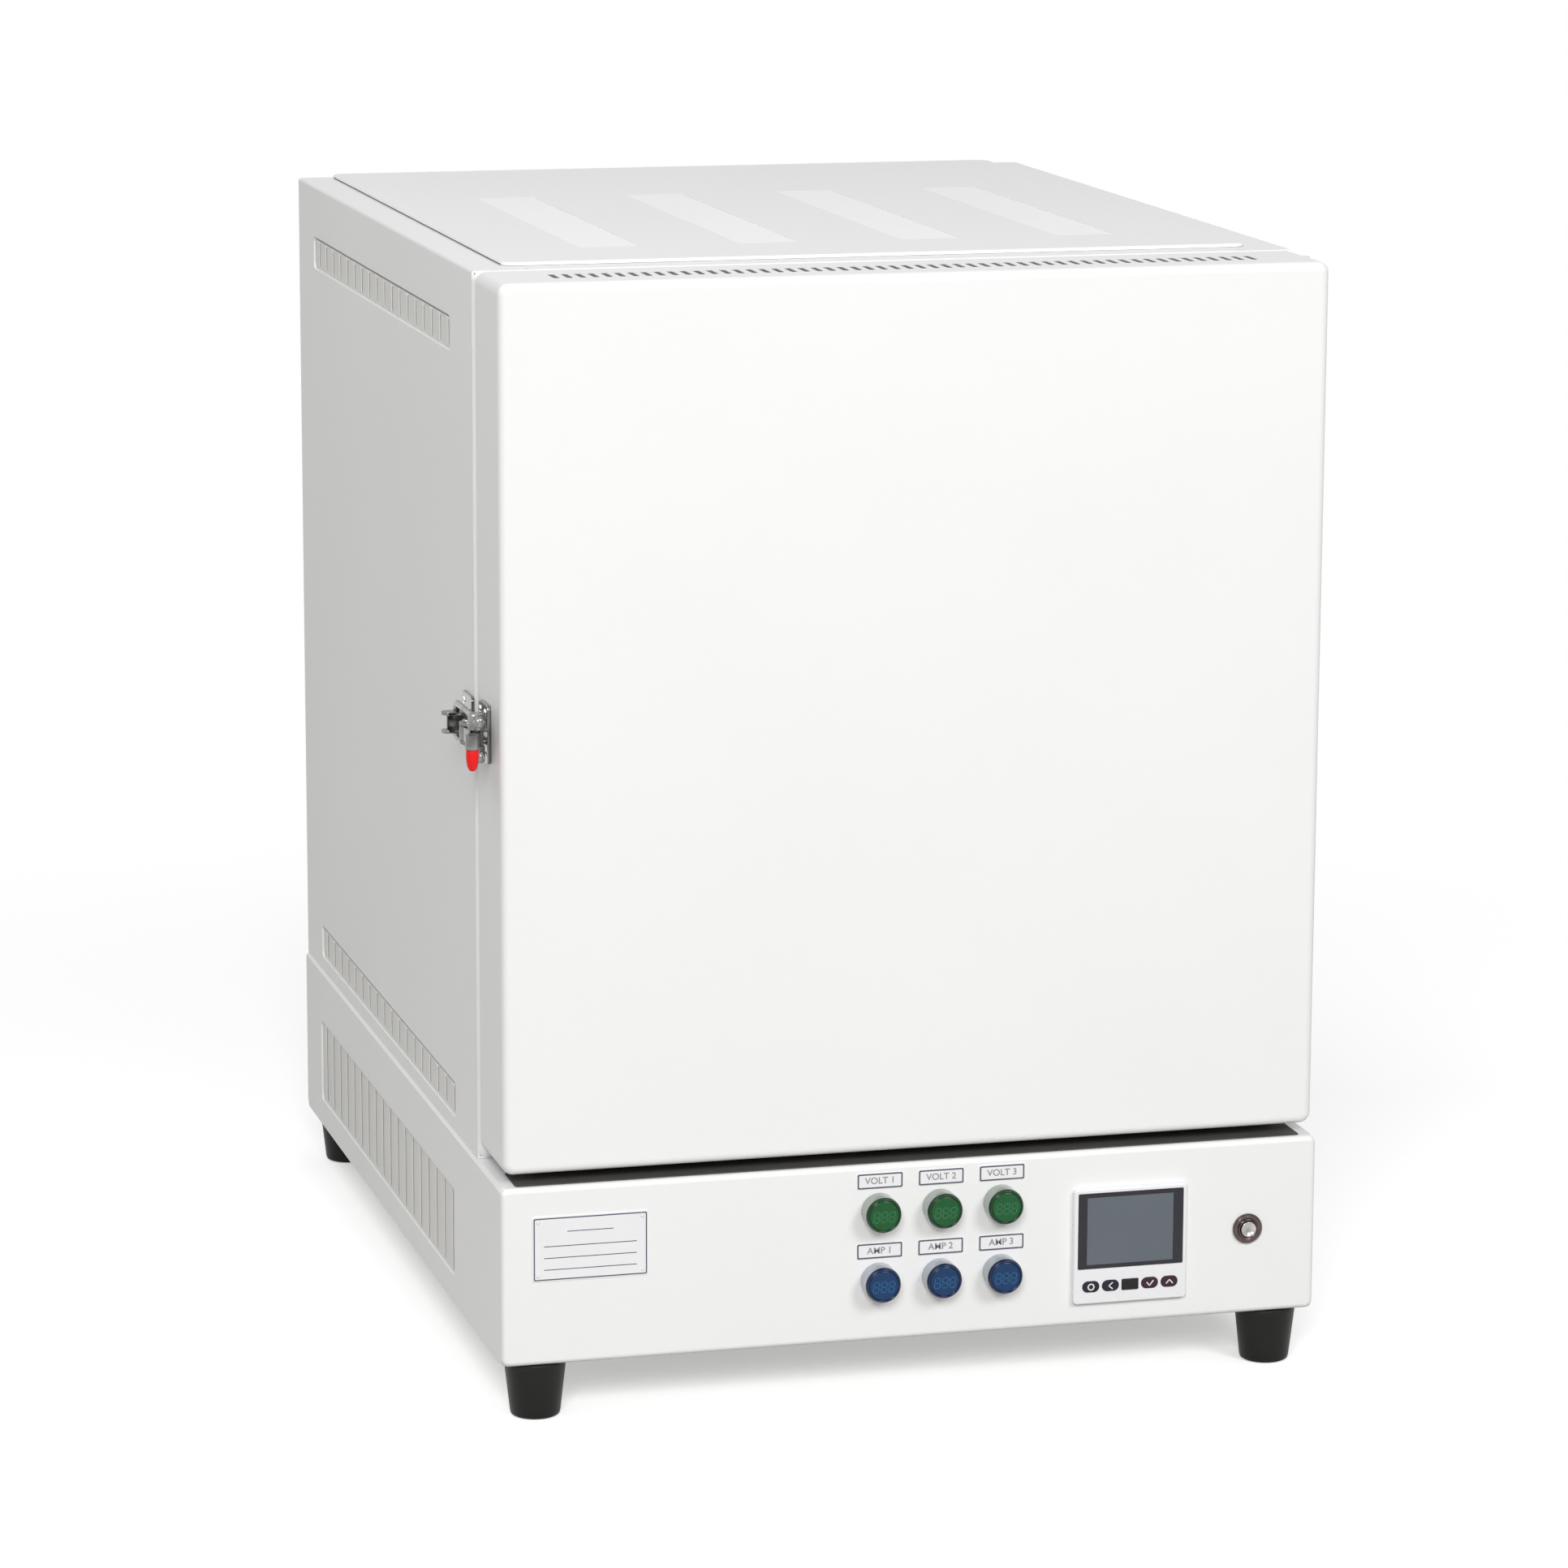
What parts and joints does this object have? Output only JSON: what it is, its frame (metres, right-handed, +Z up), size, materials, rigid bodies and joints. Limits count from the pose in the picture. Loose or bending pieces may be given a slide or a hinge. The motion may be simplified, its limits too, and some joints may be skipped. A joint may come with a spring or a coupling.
{
  "type": "dental lab furnace",
  "caption": "Box-type laboratory muffle furnace on a control base, with a side-hinged full-height door, toggle latch, panel meters, keyed controller and rubber feet.",
  "frame": {"origin": "middle of the whole object's box, at the underside of its feet", "axes": "+Z up, front (door and controls) towards -Y, +X to the right as seen from the front"},
  "size_m": [0.715, 0.8902, 0.91],
  "materials": {
    "white_coat": "satin",
    "inner_steel": "satin",
    "heat_sink": "matte",
    "black_rubber": "matte",
    "black_plastic": "satin",
    "ceramic_fibre": "matte",
    "white_ceramic": "matte",
    "silicon_carbide": "matte",
    "green_lens": "gloss",
    "blue_lens": "gloss",
    "white_plastic": "satin",
    "dark_screen": "gloss",
    "key_rubber": "satin",
    "chrome": "polished",
    "red_plastic": "gloss"
  },
  "bodies": {
    "cabinet": {"base_front_panel": "white_coat", "base_left_panel": "white_coat", "base_right_panel": "white_coat", "base_deck": "white_coat", "base_floor": "inner_steel", "foot_front_left": "black_rubber", "foot_rear_left": "black_rubber", "foot_front_right": "black_rubber", "foot_rear_right": "black_rubber", "front_frame": "white_coat", "left_side_panel": "white_coat", "right_side_panel": "white_coat", "rear_cover": "white_coat", "top_cover": "white_coat", "heating_rod_upper_1": "silicon_carbide", "heating_rod_upper_2": "silicon_carbide", "heating_rod_upper_3": "silicon_carbide", "heating_rod_lower_1": "silicon_carbide", "heating_rod_lower_2": "silicon_carbide", "heating_rod_lower_3": "silicon_carbide", "insulation_left": "ceramic_fibre", "insulation_right": "ceramic_fibre", "insulation_floor": "ceramic_fibre", "insulation_top": "ceramic_fibre", "insulation_back": "ceramic_fibre", "thermocouple": "white_ceramic", "hearth_plate": "white_ceramic", "inner_casing": "inner_steel", "power_regulator": "heat_sink", "cable_gland": "black_plastic", "volt_meter_1": "green_lens", "volt_meter_2": "green_lens", "volt_meter_3": "green_lens", "amp_meter_1": "blue_lens", "amp_meter_2": "blue_lens", "amp_meter_3": "blue_lens", "controller_case": "white_plastic", "controller_screen": "dark_screen", "button_housing": "chrome", "upper_hinge_cabinet_leaf": "chrome", "upper_hinge_pin": "chrome", "lower_hinge_cabinet_leaf": "chrome", "lower_hinge_pin": "chrome", "latch_keeper": "chrome"},
    "door": {"door_shell": "white_coat", "door_inner_plate": "inner_steel", "door_insulation": "ceramic_fibre", "door_gasket": "ceramic_fibre", "upper_hinge_door_leaf": "chrome", "lower_hinge_door_leaf": "chrome", "latch_bracket": "chrome"},
    "lever": {"latch_lever": "chrome", "latch_grip": "red_plastic"},
    "hook": {"latch_hook": "chrome"},
    "push_button": {"power_button": "chrome"},
    "set_key": {"key_set": "key_rubber"},
    "left_key": {"key_left": "key_rubber"},
    "stop_key": {"key_stop": "key_rubber"},
    "down_key": {"key_down": "key_rubber"},
    "up_key": {"key_up": "key_rubber"}
  },
  "joints": [
    {"name": "door_hinge", "type": "hinge", "parent": "cabinet", "child": "door", "pos_m": [0.3515, -0.3379, 0.55], "axis": [0, 0, 1], "range_deg": [0, 110]},
    {"name": "latch_lever_pivot", "type": "hinge", "parent": "door", "child": "lever", "pos_m": [-0.3455, -0.37215, 0.55], "axis": [0, 0, 1], "range_deg": [-105, 0]},
    {"name": "latch_hook_swing", "type": "hinge", "parent": "lever", "child": "hook", "pos_m": [-0.3435, -0.39405, 0.55], "axis": [0, 0, 1], "range_deg": [0, 105]},
    {"name": "push_button_press", "type": "slide", "parent": "cabinet", "child": "push_button", "axis": [0, 1, 0], "range_m": [0, 0.0025], "stiffness_N_per_m": 800},
    {"name": "set_key_press", "type": "slide", "parent": "cabinet", "child": "set_key", "axis": [0, 1, 0], "range_m": [0, 0.0008], "stiffness_N_per_m": 600},
    {"name": "left_key_press", "type": "slide", "parent": "cabinet", "child": "left_key", "axis": [0, 1, 0], "range_m": [0, 0.0008], "stiffness_N_per_m": 600},
    {"name": "stop_key_press", "type": "slide", "parent": "cabinet", "child": "stop_key", "axis": [0, 1, 0], "range_m": [0, 0.0008], "stiffness_N_per_m": 600},
    {"name": "down_key_press", "type": "slide", "parent": "cabinet", "child": "down_key", "axis": [0, 1, 0], "range_m": [0, 0.0008], "stiffness_N_per_m": 600},
    {"name": "up_key_press", "type": "slide", "parent": "cabinet", "child": "up_key", "axis": [0, 1, 0], "range_m": [0, 0.0008], "stiffness_N_per_m": 600}
  ],
  "couplings": [
    {"joint": "latch_hook_swing", "follows": "latch_lever_pivot", "ratio": -1}
  ]
}
